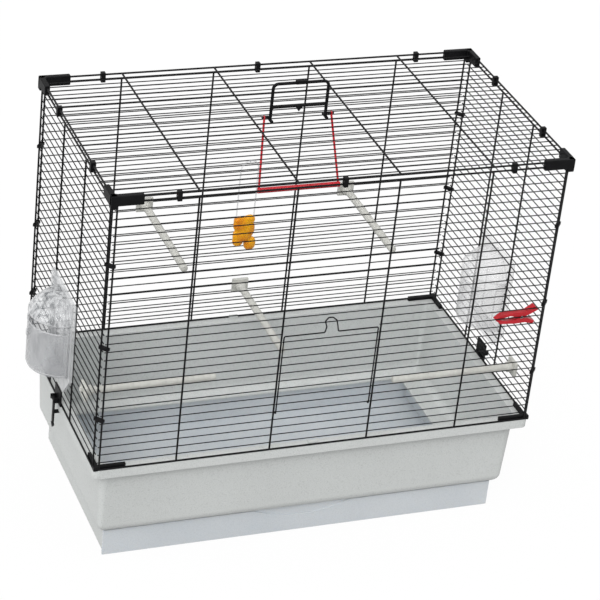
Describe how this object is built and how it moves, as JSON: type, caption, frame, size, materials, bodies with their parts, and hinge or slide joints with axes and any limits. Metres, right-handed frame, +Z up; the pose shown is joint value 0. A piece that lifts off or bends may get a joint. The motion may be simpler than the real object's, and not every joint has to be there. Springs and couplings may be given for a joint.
{
  "type": "bird cage",
  "caption": "Rectangular wire bird cage on a moulded base with a pull-out drawer, wire door, swing, perches, turning feeders and side latches.",
  "frame": {"origin": "centre of the bounding box at the underside of the runners", "axes": "+X along the length, -Y towards the door side, +Z up"},
  "size_m": [0.7986, 0.4004, 0.7165],
  "materials": {
    "base_grey": "satin",
    "drawer_blue": "satin",
    "perch_grey": "matt",
    "red_plastic": "gloss",
    "yellow_plastic": "gloss",
    "clear_plastic": "clear",
    "black_wire": "satin",
    "black_plastic": "satin",
    "spring_steel": "satin"
  },
  "bodies": {
    "cage": {"back_panel_frame": "black_wire", "back_panel_wires": "black_wire", "base_tray": "base_grey", "bottom_joint_back_left": "black_plastic", "bottom_joint_back_right": "black_plastic", "bottom_joint_front_left": "black_plastic", "bottom_joint_front_right": "black_plastic", "drawer_runner_left": "base_grey", "drawer_runner_right": "base_grey", "edge_clips": "black_plastic", "feeder_frame_left": "clear_plastic", "feeder_frame_right": "clear_plastic", "front_panel_frame": "black_wire", "front_panel_wires": "black_wire", "latch_bracket_left": "black_plastic", "latch_bracket_right": "black_plastic", "left_panel_frame": "black_wire", "left_panel_wires": "black_wire", "low_left_perch": "perch_grey", "low_right_perch": "perch_grey", "middle_perch": "perch_grey", "peg_lower_half": "red_plastic", "peg_spring_ring": "spring_steel", "right_panel_frame": "black_wire", "right_panel_wires": "black_wire", "roof_panel_frame": "black_wire", "roof_panel_wires": "black_wire", "swing_hanger": "black_plastic", "top_cap_back_left": "black_plastic", "top_cap_back_right": "black_plastic", "top_cap_front_left": "black_plastic", "top_cap_front_right": "black_plastic", "upper_left_perch": "perch_grey", "upper_right_perch": "perch_grey"},
    "drawer": {"drawer": "drawer_blue"},
    "door": {"door_frame": "black_wire", "door_wires": "black_wire"},
    "swing": {"swing": "red_plastic"},
    "toy": {"toy_loop": "clear_plastic", "toy_body": "yellow_plastic"},
    "feeder_left": {"feeder_cup_left": "clear_plastic", "feeder_hood_left": "clear_plastic"},
    "feeder_right": {"feeder_cup_right": "clear_plastic", "feeder_hood_right": "clear_plastic"},
    "strap_left": {"latch_strap_left": "black_plastic"},
    "strap_right": {"latch_strap_right": "black_plastic"},
    "clip_jaw": {"peg_upper_half": "red_plastic"}
  },
  "joints": [
    {"name": "drawer_slide", "type": "slide", "parent": "cage", "child": "drawer", "axis": [0, -1, 0], "range_m": [0, 0.3]},
    {"name": "door_hinge", "type": "hinge", "parent": "cage", "child": "door", "pos_m": [0.02375, -0.19365, 0.253], "axis": [1, 0, 0], "range_deg": [0, 150]},
    {"name": "swing_hinge", "type": "hinge", "parent": "cage", "child": "swing", "pos_m": [0.01475, 0.007, 0.657], "axis": [1, 0, 0], "range_deg": [-9, 45]},
    {"name": "toy_hinge", "type": "hinge", "parent": "cage", "child": "toy", "pos_m": [-0.10825, -0.126, 0.65065], "axis": [1, 0, 0], "range_deg": [-18, 18]},
    {"name": "feeder_turn_left", "type": "hinge", "parent": "cage", "child": "feeder_left", "pos_m": [-0.34285, 0, 0.324], "axis": [0, 0, 1], "range_deg": [0, 180]},
    {"name": "feeder_turn_right", "type": "hinge", "parent": "cage", "child": "feeder_right", "pos_m": [0.39035, 0, 0.324], "axis": [0, 0, 1], "range_deg": [0, 180]},
    {"name": "latch_left", "type": "hinge", "parent": "cage", "child": "strap_left", "pos_m": [-0.34825, 0, 0.192], "axis": [0, 1, 0], "range_deg": [0, 100]},
    {"name": "latch_right", "type": "hinge", "parent": "cage", "child": "strap_right", "pos_m": [0.39575, 0, 0.192], "axis": [0, -1, 0], "range_deg": [0, 100]},
    {"name": "clip_open", "type": "hinge", "parent": "cage", "child": "clip_jaw", "pos_m": [0.34775, -0.188, 0.377], "axis": [0, 1, 0], "range_deg": [0, 12], "stiffness_Nm_per_rad": 0.05, "springref_deg": -11.46}
  ]
}
